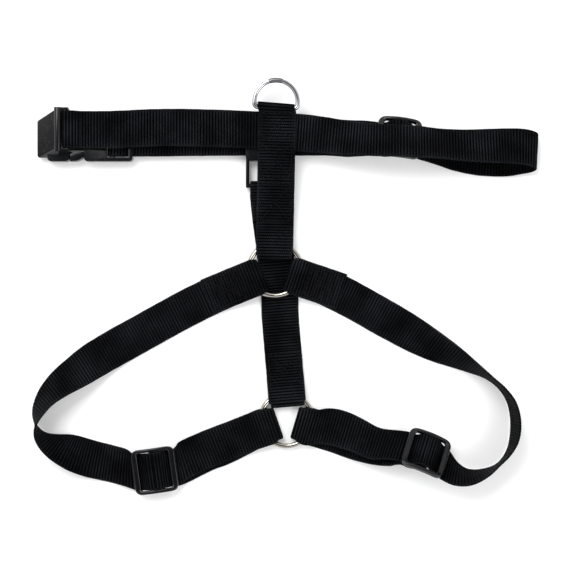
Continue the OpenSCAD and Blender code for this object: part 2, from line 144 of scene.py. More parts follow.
def ring_fold(reach, half):
    """Round a ring's wire, from the lower layer to the upper one."""
    points = []
    for angle in range(270, 60, -30):
        a = math.radians(angle)
        drawn_in = 0.5 if angle == 180 else 0
        points.append((reach + RING_LIFT * (1 + math.cos(a)), RING_LIFT * math.sin(a),
                       half - drawn_in))
    return points


RING_UPPER = [(13, 2.63), (17.75, 2.66), (21, 2), (25, 0.6), (30, -0.7), (36, 1.6 - RING_LIFT)]
SEWN_IN = [(9, -5.6), (5.6, -4.7), (3, -3.45)]
SEWN_WRAP = arc(BAR_LIFT, 270, -30, 0)
SEWN_TAIL = [(3.5, -1.5), (5.6, -2.95), (9, -3.9), (14, -4.2), (22, -4.2)]
OVER_BAR = [(0.03, 4.2), (3.8, 3.4), (6.2, 1.3), (8.4, -1.2), (10.4, -2.55), (13, -2.75),
            (16, -2.9)]
UNDER_BAR_END = [(-13, -2.9), (-10.4, -2.6), (-8.4, -1.2), (-6.2, 1.3), (-3.8, 3.4),
                 (-0.03, 4.2)]


def at_glide(glide, profile):
    return placed(glide["at"], glide["yaw"], glide["roll"], profile)


def back_placed(profile):
    return placed((-7.4, UPPER_RING_AT[1], 0), 88.8, 0, profile)


BACK_TOP = back_placed([(13, 7.85), (17.75, 7.9), (21, 7.3), (25, 6.5), (30, 6.1), (40, 7.6),
                        (50, 9.6), (60, 11.55), (68, 12.1), (75, 12.4), (81, 13.55),
                        (88, 13.75), (104, 13.8), (107, 14.1)])
BACK_ROUTE = (
    back_placed([(40.6, 5.95), (30, 4.1), (24, 3), (18.5, 2.6), (13, 2.6)])
    + back_placed(raised(ring_fold(7.4, 12.0), UPPER_RING_AT[2]))
    + BACK_TOP
    + placed(D_BAR_AT, 85.5, 0, arc(D_WRAP_R, 90, -30, -90))
    + back_placed([(107, 10.05), (103, 10.4), (66, 10.4), (60, 9.9), (50, 7.9), (41, 6.05)]))

KEEPER_BAR_Z = FLOOR_Z + (KEEPER_BAR_D + WEBBING_T) / 2 + SLIP
KEEPER_LIFT = KEEPER_BAR_Z - FLOOR_Z


def belly_placed(profile):
    return placed((2.6, LOWER_RING_AT[1], 0), 94.8, 0, profile)


BELLY_TAIL = belly_placed(
    raised([(48, PLY - RING_LIFT)] + RING_UPPER[::-1], LOWER_RING_AT[2]))
BELLY_ROUTE = (
    BELLY_TAIL
    + belly_placed(raised(ring_fold(9.6, 11.4), LOWER_RING_AT[2])[::-1])
    + belly_placed([(14, FLOOR_Z), (40, FLOOR_Z), (70, FLOOR_Z)])
    + laid((-3.8, -4, FLOOR_Z, 184.8, 0), (-7, 27, FLOOR_Z, 184.5, 0),
           (-9.8, 48, FLOOR_Z, 183, 0), (-11, 60, FLOOR_Z, 181, 0))
    + placed((KEEPER_AT[0], KEEPER_AT[1] + KEEPER_BAR_Y, 0), 90, 0,
             arc(KEEPER_LIFT, 270, 30, 450, (0, KEEPER_BAR_Z)) + [(-4, 4.7), (-9, 3)])
    + laid((-9.8, 55, FLOOR_Z + PLY, 182, 0), (-9.2, 46, FLOOR_Z + PLY, 183, 0)))

LEFT_TAIL = placed(UPPER_RING_AT, 202, 0, [
    (50, -2.75), (44, -2.75), (36, -1.75), (30, -0.4), (25, 1), (21, 2.1), (17.75, 2.66),
    (13, 2.63)])
LEFT_NECK_ROUTE = (
    LEFT_TAIL
    + placed(UPPER_RING_AT, 202, 0, ring_fold(9.8, 11.6)[::-1] + [
        (14, -RING_LIFT), (20, -2.62), (26, -3.3), (34, -4.2)])
    + laid((-49.6, -5.6, FLOOR_Z, 294, 0), (-66, -13.6, FLOOR_Z, 296, 0),
           (-82.3, -22.4, FLOOR_Z, 298, 0), (-98.6, -31.5, FLOOR_Z, 299, 0),
           (-115, -40.6, 1.15, 300, 1), (-130.6, -49.8, 3.5, 303, 11),
           (-142.8, -58.2, 6.6, 308, 26), (-153.6, -66, 9.2, 315, 41),
           (-162.2, -74.6, 11.4, 324, 54), (-167.6, -84.4, 12.8, 338, 66),
           (-168.9, -92.6, 13.6, 356, 80), (-166, -99.6, 13.8, 380, 97),
           (-159.8, -104.4, 12.6, 403, 117), (-152, -108.8, 9.2, 420, 139),
           (-142.8, -113.4, 5.2, 432, 160), (-132.4, -117.2, 2.3, 438, 174),
           (-120, -120.3, 1, 442, 180), (-109.5, -123, 2.4, 446, 180))
    + rolled_over(at_glide(LEFT_GLIDE, UNDER_BAR_END)))

LOWER_FOLD = [(25, 0.8), (21, 2), (17.75, 2.66), (13, 2.63)]
LOWER_BACK = [(13, -RING_LIFT), (22, -RING_LIFT)]
LEFT_LOOP_ROUTE = (
    at_glide(LEFT_GLIDE, OVER_BAR)
    + laid((-68.5, -117.4, 4.1, 108, 0), (-55, -111.3, 3.3, 112, 0),
           (-42, -106.2, 2.5, 112, 0), (-32, -102.4, 2.5, 110, 0))
    + swapped(placed(LOWER_RING_AT, 199, 0,
                     LOWER_FOLD + ring_fold(6.5, 11.2)[::-1] + LOWER_BACK))
    + laid((-42, -108.6, FLOOR_Z, 112, 0), (-55, -113.6, FLOOR_Z, 111, 0))
    + at_glide(LEFT_GLIDE, [(18, -5.8), (12, -5.8)] + SEWN_IN + SEWN_WRAP + SEWN_TAIL[:4])
    + laid((-68, -117.8, 2.42, 108, 0), (-59, -114.4, 2.42, 111, 0)))

RIGHT_TAIL = placed(UPPER_RING_AT, 341.5, 0, [
    (48, -2.75), (42, -2.75), (36, -1.75), (30, -0.4), (25, 1), (21, 2.1), (17.75, 2.66),
    (13, 2.63)])
RIGHT_NECK_ROUTE = (
    RIGHT_TAIL
    + placed(UPPER_RING_AT, 341.5, 0, ring_fold(9.8, 11.6)[::-1] + [
        (14, -RING_LIFT), (20, -2.62), (26, -3.3), (34, -4.2)])
    + laid((40, -5.4, FLOOR_Z, 426, 0), (52, -11.8, FLOOR_Z + 0.1, 423, 0),
           (64.6, -19, 1.8, 421, 3), (78, -26.6, 4, 420, 13), (91.6, -34.6, 6.4, 418, 26),
           (104.4, -41.9, 8.9, 417, 41), (116.2, -48.2, 11.4, 416, 57),
           (127.4, -54.6, 13, 413, 72), (138, -61, 13.5, 404, 84),
           (147, -68.4, 13.5, 393, 86), (153.4, -78, 13.6, 377, 84),
           (156, -90, 13.6, 362, 83), (155.2, -102, 13.6, 346, 85),
           (151.2, -112, 13.6, 328, 92), (144, -120.2, 13.6, 306, 95),
           (134.6, -125.8, 13.6, 284, 84), (124.5, -128.2, 13.6, 266, 71),
           (115, -125.6, 13.8, 250, 56))
    + at_glide(RIGHT_GLIDE, UNDER_BAR_END))

RIGHT_LOOP_ROUTE = (
    at_glide(RIGHT_GLIDE, OVER_BAR)
    + laid((73, -106.6, 11.9, 246, 38), (61, -105.8, 10.3, 249, 33),
           (48, -99.9, 8.4, 251, 24), (36, -95.8, 5.6, 253, 10), (27, -94.6, 4.4, 255, 3))
    + swapped(placed(LOWER_RING_AT, 343.5, 0,
                     LOWER_FOLD[2:] + ring_fold(6.5, 11.2)[::-1] + LOWER_BACK))
    + laid((36, -101, FLOOR_Z, 252, 0), (48, -105.2, FLOOR_Z + 0.7, 249, 3),
           (60, -108.4, 4, 247, 13), (72, -110.6, 6.8, 245, 28))
    + at_glide(RIGHT_GLIDE, [(14, -5.8)] + SEWN_IN + SEWN_WRAP + SEWN_TAIL[:4])
    + laid((75.6, -110.6, 9.9, 245, 32), (70, -110, 8.2, 246, 27)))

GIRTH_ROUTE = (
    laid((GIRTH_JOIN_X, 106.8, 13.7, 90, 0), (-132, 106.8, 12.8, 90, 0),
         (-117, 106.9, 12.5, 90, 0), (-95, 108, 12.5, 90, 0), (-77, 108.4, 12.4, 90, 0),
         (-53, 108, 12.1, 90, 0), (-30, 107.2, 12.05, 90, 0), (-7, 106, 12.05, 87, 0),
         (12, 104.7, 12.1, 86, 0), (24, 103.4, 12.9, 85, -6), (43, 101, 15, 84, -19),
         (62, 99.4, 18.6, 87, -26), (77, 98.8, 19.7, 88, -27), (90, 98.2, 18.8, 88, -28),
         (105, 97.2, 15.6, 88, -32), (120, 96.2, 13.8, 89, -28), (136, 96, 12.4, 90, -22),
         (152, 96, 11.6, 90, -15), (162, 95.4, 11, 88, -11), (168.6, 94, 9.4, 87, -9),
         (171.4, 92.4, 6.4, 86, -8), (168.6, 91, 3.2, 86, -7), (162, 90, 2.2, 87, -4),
         (150, 88.6, 1.3, 90, -2), (134, 89.2, 0.95, 87, 0), (118, 92, 1.9, 83, -3),
         (104, 95.8, 5, 82, -14))
    + swapped(at_glide(GIRTH_GLIDE, UNDER_BAR_END)))

GIRTH_LOOP_ROUTE = (
    at_glide(GIRTH_GLIDE, OVER_BAR)
    + laid((54, 101.6, 8.2, 267, 15), (42, 101.6, 6.6, 269, 6), (28, 102.6, 6.05, 270, 0),
           (8, 102.6, 6.05, 270, 0), (-40, 102.4, 6.05, 270, 0), (-90, 102, 6.05, 270, 0),
           (-104, 102, 6.05, 270, 0), (-109, 102, 6.3, 270, 0))
    + placed([b + r for b, r in zip(BUCKLE_AT, RECEIVER_BAR)], 180, 0,
             arc(BAR_LIFT, 110, -28, -114))
    + laid((-109, 102, 4, 270, 0), (-104, 102, 4.35, 270, 0), (-90, 102, 4.4, 270, 0),
           (-40, 102.6, 4.4, 270, 0), (8, 102.6, 4.4, 270, 0), (28, 102.6, 4.35, 270, 0),
           (42, 101.6, 4.6, 269, 5), (54, 101.6, 5.3, 267, 14))
    + at_glide(GIRTH_GLIDE, [(14, -5.5)] + SEWN_IN + SEWN_WRAP + SEWN_TAIL[:4]))

GIRTH_END_ROUTE = (
    laid((GIRTH_JOIN_X, 106.8, 13.7, 90, 0))
    + placed(PLUG_BAR_AT, 0, 0, [(3.6, 2.1)] + arc(BAR_LIFT, 80, 32, 272)
             + [(4, -2.62), (12, -2.7), (22, -2.7), (28, -2.7)]))


# ---------- lines: a route sampled at even steps ----------


def unit(v):
    return v / np.linalg.norm(v, axis=-1, keepdims=True)


def spline_points(route, steps=24):
    """Uniform Catmull-Rom through the route's points, its ends doubled."""
    p = np.array([route[0]] + list(route) + [route[-1]], float)
    t = np.arange(steps)[:, None] / steps
    rows = []
    for i in range(len(route) - 1):
        a, b, c, d = p[i:i + 4]
        rows.append(0.5 * (2 * b + (c - a) * t + (2 * a - 5 * b + 4 * c - d) * t ** 2
                           + (3 * b - a - 3 * c + d) * t ** 3))
    return np.vstack(rows + [p[-1:]])


def line_of(route):
    """Even rows along a route: distance, middle, width direction, face and half width."""
    p = spline_points(route)
    run = np.concatenate([[0], np.cumsum(np.linalg.norm(np.diff(p[:, :3], axis=0), axis=1))])
    count = int(run[-1] / RIB_PITCH * ROWS_PER_RIB)
    s = np.linspace(0, run[-1], count + 1)
    q = np.stack([np.interp(s, run, p[:, k]) for k in range(6)], axis=1)
    az, lift = np.radians(q[:, 3]), np.radians(q[:, 4])
    side = np.stack([np.cos(lift) * np.cos(az), np.cos(lift) * np.sin(az), np.sin(lift)], axis=1)
    ahead = np.gradient(q[:, :3], axis=0)
    for _ in range(2):
        ahead[1:-1] = (ahead[:-2] + ahead[1:-1] + ahead[2:]) / 3
    face = unit(np.cross(ahead, side))
    return dict(s=s, middle=q[:, :3], side=side, face=face, half=q[:, 5])


def part_of(line, first, last):
    return {key: value[first:last + 1] for key, value in line.items()}


def row_near(line, x, y, z=None):
    at = np.array([x, y] if z is None else [x, y, z], float)
    return int(np.argmin(np.linalg.norm(line["middle"][:, :len(at)] - at, axis=1)))


# ---------- mesh making ----------


def new_object(name, verts, faces, material, smooth=True):
    mesh = bpy.data.meshes.new(name)
    mesh.from_pydata((np.asarray(verts) * MM).tolist(), [], faces)
    mesh.update()
    if smooth:
        mesh.polygons.foreach_set("use_smooth", [True] * len(mesh.polygons))
    mesh.materials.append(material)
    piece = bpy.data.objects.new(name, mesh)
    bpy.context.scene.collection.objects.link(piece)
    return piece


def grid_faces(rows, columns, closed_rows=False):
    """Quads of a tube whose rings of points follow each other."""
    faces = []
    for i in range(rows if closed_rows else rows - 1):
        a, b = i * columns, ((i + 1) % rows) * columns
        for k in range(columns):
            n = (k + 1) % columns
            faces.append((a + k, a + n, b + n, b + k))
    return faces


def waver(s, seed):
    """A small smooth unevenness along a strap, from -1 to 1."""
    return (np.sin(s * 0.071 + seed * 1.7) + np.sin(s * 0.173 + seed * 3.1)
            + np.sin(s * 0.411 + seed * 5.3)) / 3


EDGE_STEPS = [0.22, 0.7, 1.4]       # distances of the selvedge's columns from the edge
EDGE_HEIGHT = [0.62, 0.92, 0.86]    # their height, as a share of half the thickness
EDGE_RIB = [0.1, 0.3, 0.8]          # how much of the ribs they carry
INNER_PLACES = [-0.72, -0.36, 0, 0.36, 0.72]    # columns between the selvedges, as shares
INNER_HEIGHT = 0.86
RIB_ROUNDNESS = 0.62                # under 1, crests are broad and grooves narrow
RIB_MEAN = 0.62                     # the rib height that lies on the face itself
RIB_WAVER = 0.11                    # how far the ribs wander, in pitches
EDGE_WAVER = 0.09                   # how far the edges wander, in millimetres
EDGE_SHADE = 0.8


def section(half):
    """Columns from edge to edge on one face: place across, height share, rib share."""
    across = [-half + e for e in EDGE_STEPS]
    across += [k * (half - EDGE_STEPS[-1]) for k in INNER_PLACES]
    across += [half - e for e in EDGE_STEPS[::-1]]
    height = EDGE_HEIGHT + [INNER_HEIGHT] * len(INNER_PLACES) + EDGE_HEIGHT[::-1]
    rib = EDGE_RIB + [1] * len(INNER_PLACES) + EDGE_RIB[::-1]
    return np.array(across), np.array(height), np.array(rib)


def ribbed(s, seed, offset=0.0):
    """Height of the woven ribs, from 0 in a groove to 1 on a crest."""
    phase = s / RIB_PITCH + RIB_WAVER * waver(s * 1.9, seed + 11) + offset
    return np.abs(np.sin(np.pi * phase)) ** RIB_ROUNDNESS


def webbing(name, line, material, seed):
    """One length of ribbed webbing with selvedges, as a closed mesh.

    Its weave attribute holds the distance along, the place across and the rib's height, which the
    material paints as highlight on the crests and shade in the grooves.
    """
    rows = len(line["s"])
    s, half_t = line["s"], WEBBING_T / 2
    half = line["half"] + EDGE_WAVER * waver(s * 1.4, seed)
    top_rib, low_rib = ribbed(s, seed), ribbed(s, seed, 0.5)
    columns = 2 * (len(EDGE_STEPS) * 2 + len(INNER_PLACES)) + 2
    verts = np.zeros((rows, columns, 3))
    weave = np.zeros((rows, columns, 3))
    for i in range(rows):
        across, height, rib = section(half[i])
        top = half_t * height + RIB_DEPTH * rib * (top_rib[i] - RIB_MEAN)
        low = -half_t * height - RIB_DEPTH * rib * (low_rib[i] - RIB_MEAN)
        u = np.concatenate([across, [half[i]], across[::-1], [-half[i]]])
        w = np.concatenate([top, [0], low[::-1], [0]])
        verts[i] = line["middle"][i] + u[:, None] * line["side"][i] + w[:, None] * line["face"][i]
        weave[i, :, 0] = s[i]
        weave[i, :, 1] = u
        # third channel: rib height for the painted highlight on crests and painted shade in
        # grooves; EDGE_SHADE is painted shade on the selvedge columns
        weave[i, :, 2] = np.concatenate([1 - rib * (1 - top_rib[i]), [EDGE_SHADE],
                                         (1 - rib * (1 - low_rib[i]))[::-1], [EDGE_SHADE]])
    faces = grid_faces(rows, columns)
    faces.append(tuple(range(columns - 1, -1, -1)))
    faces.append(tuple(range((rows - 1) * columns, rows * columns)))
    faces = [f[::-1] for f in faces]
    piece = new_object(name, verts.reshape(-1, 3), faces, material)
    layer = piece.data.attributes.new("weave", "FLOAT_VECTOR", "POINT")
    layer.data.foreach_set("vector", weave.reshape(-1).astype(np.float32))
    return piece


def sweep(name, path, sizes, material, closed=True, power=2.0, around=20, up=(0, 0, 1)):
    """A bar along a path; sizes are (width, height) at each point; a high power squares it."""
    path, sizes = np.array(path, float), np.array(sizes, float)
    if closed:
        ahead = unit(np.roll(path, -1, axis=0) - np.roll(path, 1, axis=0))
    else:
        ahead = unit(np.gradient(path, axis=0))
    side = unit(np.cross(ahead, np.array(up, float)))
    over = np.cross(side, ahead)
    a = np.arange(around) / around * 2 * np.pi
    cx = np.sign(np.cos(a)) * np.abs(np.cos(a)) ** (2 / power) / 2
    cy = np.sign(np.sin(a)) * np.abs(np.sin(a)) ** (2 / power) / 2
    verts = (path[:, None] + cx[None, :, None] * sizes[:, None, :1] * side[:, None]
             + cy[None, :, None] * sizes[:, None, 1:] * over[:, None])
    faces = grid_faces(len(path), around, closed)
    if not closed:
        faces.append(tuple(range(around - 1, -1, -1)))
        faces.append(tuple(range((len(path) - 1) * around, len(path) * around)))
    return new_object(name, verts.reshape(-1, 3), faces, material)


def rounded_outline(length, width, radius, per_corner=8, per_side=6):
    """Points of a rounded rectangle, anticlockwise from the middle of its +X side."""
    points = []
    corners = [(1, 1, 0), (-1, 1, 90), (-1, -1, 180), (1, -1, 270)]
    for cx, cy, start in corners:
        for k in range(per_corner + 1):
            a = math.radians(start + 90 * k / per_corner)
            points.append((cx * (length / 2 - radius) + radius * math.cos(a),
                           cy * (width / 2 - radius) + radius * math.sin(a)))
    dense = []
    for i, p in enumerate(points):
        q = points[(i + 1) % len(points)]
        gap = math.hypot(q[0] - p[0], q[1] - p[1])
        n = per_side if gap > radius else 1
        dense += [(p[0] + (q[0] - p[0]) * k / n, p[1] + (q[1] - p[1]) * k / n) for k in range(n)]
    return dense


def joined(name, pieces):
    """One object from several, the first one's transform kept."""
    bpy.ops.object.select_all(action="DESELECT")
    for piece in pieces:
        piece.select_set(True)
    bpy.context.view_layer.objects.active = pieces[0]
    bpy.ops.object.join()
    pieces[0].name = name
    pieces[0].data.name = name
    return pieces[0]


def turned_about(points, at, yaw, roll=0):
    a, r = math.radians(yaw), math.radians(roll)
    p = np.array(points, float)
    y = p[:, 1] * math.cos(r) - p[:, 2] * math.sin(r)
    z = p[:, 1] * math.sin(r) + p[:, 2] * math.cos(r)
    return np.stack([at[0] + p[:, 0] * math.cos(a) - y * math.sin(a),
                     at[1] + p[:, 0] * math.sin(a) + y * math.cos(a), at[2] + z], axis=1)


# ---------- materials ----------


class Nodes:
    """Small helper that builds a material's nodes."""

    def __init__(self, name):
        self.material = bpy.data.materials.new(name)
        self.material.use_nodes = True
        self.tree = self.material.node_tree
        self.shader = self.tree.nodes["Principled BSDF"]

    def add(self, kind, **settings):
        node = self.tree.nodes.new(kind)
        for key, value in settings.items():
            setattr(node, key, value)
        return node

    def link(self, source, target):
        self.tree.links.new(source, target)

    def maths(self, operation, a, b=None, clamp=False):
        node = self.add("ShaderNodeMath", operation=operation, use_clamp=clamp)
        for socket, value in zip(node.inputs, (a, b)):
            if value is None:
                continue
            if isinstance(value, (int, float)):
                socket.default_value = value
            else:
                self.link(value, socket)
        return node.outputs[0]

    def noise(self, scale, detail=3.0, roughness=0.5):
        where = self.add("ShaderNodeTexCoord")
        node = self.add("ShaderNodeTexNoise")
        node.inputs["Scale"].default_value = scale
        node.inputs["Detail"].default_value = detail
        node.inputs["Roughness"].default_value = roughness
        self.link(where.outputs["Object"], node.inputs["Vector"])
        return node.outputs["Fac"]

    def ranged(self, value, low, high, from_low=0.0, from_high=1.0):
        node = self.add("ShaderNodeMapRange")
        node.inputs["From Min"].default_value = from_low
        node.inputs["From Max"].default_value = from_high
        node.inputs["To Min"].default_value = low
        node.inputs["To Max"].default_value = high
        self.link(value, node.inputs["Value"])
        return node.outputs["Result"]

    def colours(self, value, low, high):
        node = self.add("ShaderNodeMix", data_type="RGBA")
        node.inputs[6].default_value = (*low, 1)
        node.inputs[7].default_value = (*high, 1)
        self.link(value, node.inputs[0])
        return node.outputs[2]

    def bump(self, height, distance, strength=1.0):
        node = self.add("ShaderNodeBump")
        node.inputs["Distance"].default_value = distance
        node.inputs["Strength"].default_value = strength
        self.link(height, node.inputs["Height"])
        self.link(node.outputs["Normal"], self.shader.inputs["Normal"])

    def constant(self, **values):
        for key, value in values.items():
            self.shader.inputs[key.replace("_", " ")].default_value = value


YARN_W = 1.3    # millimetres across the webbing from one yarn to the next


def webbing_material():
    n = Nodes("woven_nylon")
    weave = n.add("ShaderNodeAttribute", attribute_name="weave")
    split = n.add("ShaderNodeSeparateXYZ")
    n.link(weave.outputs["Vector"], split.inputs[0])
    along, across, rib = split.outputs
    row = n.maths("FLOOR", n.maths("DIVIDE", along, RIB_PITCH))
    odd = n.maths("MULTIPLY", n.maths("MODULO", row, 2.0), math.pi)
    yarn = n.maths("MULTIPLY", across, 2 * math.pi / YARN_W)
    yarn = n.maths("SINE", n.maths("ADD", yarn, odd))
    yarn = n.ranged(yarn, 0.0, 1.0, -1.0, 1.0)
    fibre = n.noise(2600, 4)
    patch = n.noise(45, 2)
    crest = n.maths("MULTIPLY", rib, n.ranged(yarn, 0.72, 1.0))
    crest = n.maths("MULTIPLY", crest, n.ranged(fibre, 0.7, 1.25, 0.3, 0.7))
    crest = n.maths("MULTIPLY", crest, n.ranged(patch, 0.82, 1.15, 0.3, 0.7), clamp=True)
    # painted highlight on the rib crests and painted shade in the grooves, put into the base
    # colour
    crest = n.maths("POWER", crest, 4.4)
    n.link(n.colours(crest, (0.0001, 0.0001, 0.0002), (0.0185, 0.0198, 0.0228)),
           n.shader.inputs["Base Color"])
    n.link(n.ranged(fibre, 0.5, 0.72, 0.3, 0.7), n.shader.inputs["Roughness"])
    n.constant(Specular_IOR_Level=0.01)
    height = n.maths("ADD", n.maths("MULTIPLY", yarn, 0.6), n.maths("MULTIPLY", fibre, 0.5))
    n.bump(height, 0.00012, 0.7)
    return n.material


def thread_material():
    n = Nodes("sewing_thread")
    fibre = n.noise(3000, 3)
    n.link(n.colours(fibre, (0.0008, 0.0008, 0.001), (0.005, 0.005, 0.0066)),
           n.shader.inputs["Base Color"])
    n.link(n.ranged(fibre, 0.4, 0.6), n.shader.inputs["Roughness"])
    n.constant(Specular_IOR_Level=0.08)
    n.bump(fibre, 0.0001, 0.5)
    return n.material


def plastic_material():
    n = Nodes("moulded_plastic")
    patch, grain, scuff = n.noise(60, 3), n.noise(1400, 4), n.noise(240, 6, 0.7)
    n.link(n.colours(patch, (0.0012, 0.0013, 0.0018), (0.003, 0.0033, 0.0042)),
           n.shader.inputs["Base Color"])
    rough = n.maths("ADD", n.ranged(grain, 0.17, 0.26, 0.3, 0.7),
                    n.ranged(scuff, 0.0, 0.1, 0.5, 0.75))
    n.link(rough, n.shader.inputs["Roughness"])
    n.constant(Specular_IOR_Level=0.4)
    n.bump(grain, 0.00003, 0.5)
    return n.material


def metal_material(name, low, high, rough_low, rough_high):
    n = Nodes(name)
    patch, grain = n.noise(90, 3), n.noise(1800, 4)
    n.link(n.colours(patch, low, high), n.shader.inputs["Base Color"])
    n.link(n.ranged(grain, rough_low, rough_high, 0.3, 0.7), n.shader.inputs["Roughness"])
    n.constant(Metallic=1.0)
    n.bump(n.maths("ADD", patch, n.maths("MULTIPLY", grain, 0.2)), 0.00004, 0.4)
    return n.material


WEBBING = webbing_material()
THREAD = thread_material()
PLASTIC = plastic_material()
NICKEL = metal_material("nickel_plate", (0.36, 0.34, 0.3), (0.52, 0.49, 0.44), 0.12, 0.2)
CHROME = metal_material("chrome_plate", (0.38, 0.385, 0.4), (0.54, 0.545, 0.56), 0.06, 0.13)
WELD = metal_material("weld_sleeve", (0.12, 0.12, 0.13), (0.22, 0.22, 0.23), 0.3, 0.42)


# ---------- camera, light and floor ----------

CAMERA_AT = (1.02, 0.68, 1080)
CAMERA_LENS = 99.05
SKY_STRENGTH = 1.3
SKY_BANDS = ((0.45, 0.95), (0.7, 1.0), (0.87, 0.14))    # (height, grey) from horizon to zenith
FLOOR_HALF = 3000
FLOOR_TOP = -0.1
FLOOR_GLOW = 0.12


def make_camera():
    data = bpy.data.cameras.new("camera")
    data.lens = CAMERA_LENS
    data.sensor_width = 36
    camera = bpy.data.objects.new("camera", data)
    camera.location = [c * MM for c in CAMERA_AT]
    bpy.context.scene.collection.objects.link(camera)
    bpy.context.scene.camera = camera


def area_light(name, at, target, size, power):
    data = bpy.data.lights.new(name, "AREA")
    data.shape = "RECTANGLE"
    data.size, data.size_y = size
    data.energy = power
    light = bpy.data.objects.new(name, data)
    light.location = at
    towards = np.array(target) - np.array(at)
    yaw = math.atan2(towards[0], -towards[1])
    tilt = math.atan2(math.hypot(towards[0], towards[1]), -towards[2])
    light.rotation_euler = (tilt, 0, yaw + math.pi)
    bpy.context.scene.collection.objects.link(light)


def make_world():
    world = bpy.data.worlds.new("studio")
    world.use_nodes = True
    tree = world.node_tree
    tree.nodes["Background"].inputs["Strength"].default_value = SKY_STRENGTH
    where = tree.nodes.new("ShaderNodeTexCoord")
    split = tree.nodes.new("ShaderNodeSeparateXYZ")
    ramp = tree.nodes.new("ShaderNodeValToRGB")
    tree.links.new(where.outputs["Generated"], split.inputs[0])
    tree.links.new(split.outputs["Z"], ramp.inputs["Fac"])
    tree.links.new(ramp.outputs["Color"], tree.nodes["Background"].inputs["Color"])
    stops = ramp.color_ramp.elements
    stops[0].position, stops[0].color = 0.12, (0.07, 0.07, 0.075, 1)
    stops[1].position, stops[1].color = 1.0, (0.08, 0.08, 0.085, 1)
    for place, grey in SKY_BANDS:
        stops.new(place).color = (grey, grey, grey * 1.01, 1)
    bpy.context.scene.world = world


def make_floor():
    n = Nodes("studio_floor")
    n.constant(Base_Color=(0.93, 0.93, 0.93, 1), Roughness=0.9, Specular_IOR_Level=0.1)
    n.constant(Emission_Color=(1, 1, 1, 1), Emission_Strength=FLOOR_GLOW)
    corners = [(x * FLOOR_HALF, y * FLOOR_HALF, FLOOR_TOP)
               for x, y in ((-1, -1), (1, -1), (1, 1), (-1, 1))]
    floor = new_object("studio_floor", corners, [(0, 1, 2, 3)], n.material, smooth=False)


make_camera()
make_world()
make_floor()
area_light("key", (-0.5, 0.75, 1.15), (0, 0, 0), (0.9, 0.9), 17)
area_light("fill", (0.9, -0.5, 0.9), (0, 0, 0), (0.8, 0.8), 6)
bpy.context.scene.view_settings.view_transform = "Standard"


# ---------- straps ----------


def rides(piece, body, *nodes):
    """Put a piece on its body, in place of the CAD nodes that it shows."""
    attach(piece, body)
    if nodes:
        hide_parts(*nodes)
    return piece


def along(glide, distance):
    """A point on a tri-glide's own line, in metres."""
    point = turned_about([(distance, 0, 0)], glide["at"], glide["yaw"], glide["roll"])[0]
    return tuple(point * MM)


def make_back_strap():
    rides(webbing("back_webbing", line_of(BACK_ROUTE), WEBBING, 1), "harness", "back_strap")


def make_belly_strap():
    line = line_of(BELLY_ROUTE)
    cut = row_near(line, -1.6, -35, FLOOR_Z)
    rides(webbing("belly_webbing_ring_end", part_of(line, 0, cut), WEBBING, 2),
          "harness", "belly_strap")
    upper = webbing("belly_webbing_keeper_end", part_of(line, cut, len(line["s"])), WEBBING, 2)
    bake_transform(upper)
    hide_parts("belly_strap")


def make_neck_strap(side, route, bend, seed):
    """A running neck strap: a fixed length up to its bend that rides the harness, and the rest
    left where it lies.
    """
    line = line_of(route)
    cut = row_near(line, *bend)
    name, node, body = f"{side}_neck_webbing", f"{side}_neck_strap", f"{side}_adjuster"
    rides(webbing(f"{name}_upper", part_of(line, 0, cut), WEBBING, seed), "harness", node)
    lower = webbing(f"{name}_lower", part_of(line, cut, len(line["s"])), WEBBING, seed)
    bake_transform(lower)
    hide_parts(node)


def make_loop(name, node, route, seed):
    """An adjusting loop; it stays where it lies at both ends."""
    line = line_of(route)
    piece = webbing(name, line, WEBBING, seed)
    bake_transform(piece)
    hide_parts(node)


def make_girth_strap():
    line = line_of(GIRTH_ROUTE)
    cut = row_near(line, 171.4, 92.4, 6.4)
    front = webbing("girth_webbing_front", part_of(line, 0, cut), WEBBING, 7)
    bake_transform(front)
    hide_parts("girth_strap")
    back = webbing("girth_webbing_back", part_of(line, cut, len(line["s"])), WEBBING, 7)
    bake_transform(back)
    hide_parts("girth_strap")


make_back_strap()
make_belly_strap()
make_neck_strap("left", LEFT_NECK_ROUTE, (-168.9, -92.6), 3)
make_neck_strap("right", RIGHT_NECK_ROUTE, (151.2, -112), 4)
make_loop("left_loop_webbing", "left_adjusting_loop", LEFT_LOOP_ROUTE,
          5)
make_loop("right_loop_webbing", "right_adjusting_loop", RIGHT_LOOP_ROUTE,
          6)
make_loop("girth_loop_webbing", "girth_adjusting_loop", GIRTH_LOOP_ROUTE,
          8)
make_girth_strap()
rides(webbing("girth_end_webbing", line_of(GIRTH_END_ROUTE), WEBBING, 9), "buckle_insert",
      "girth_end_loop")


# ---------- rings ----------

RING_STEPS = 96
BEND_STEPS = 6
CROWN_STEPS = 60
WELD_FIRST, WELD_LAST = 25, 37      # steps of the crown that the weld's sleeve covers


def make_round_ring(name, at, body, node):
    radius = (RING_OUTER_D - RING_WIRE_D) / 2
    path = [(at[0] + radius * math.cos(a), at[1] + radius * math.sin(a), at[2])
            for a in np.arange(RING_STEPS) / RING_STEPS * 2 * math.pi]
    ring = sweep(name, path, [(RING_WIRE_D, RING_WIRE_D)] * RING_STEPS, NICKEL, around=24)
    rides(ring, body, node)


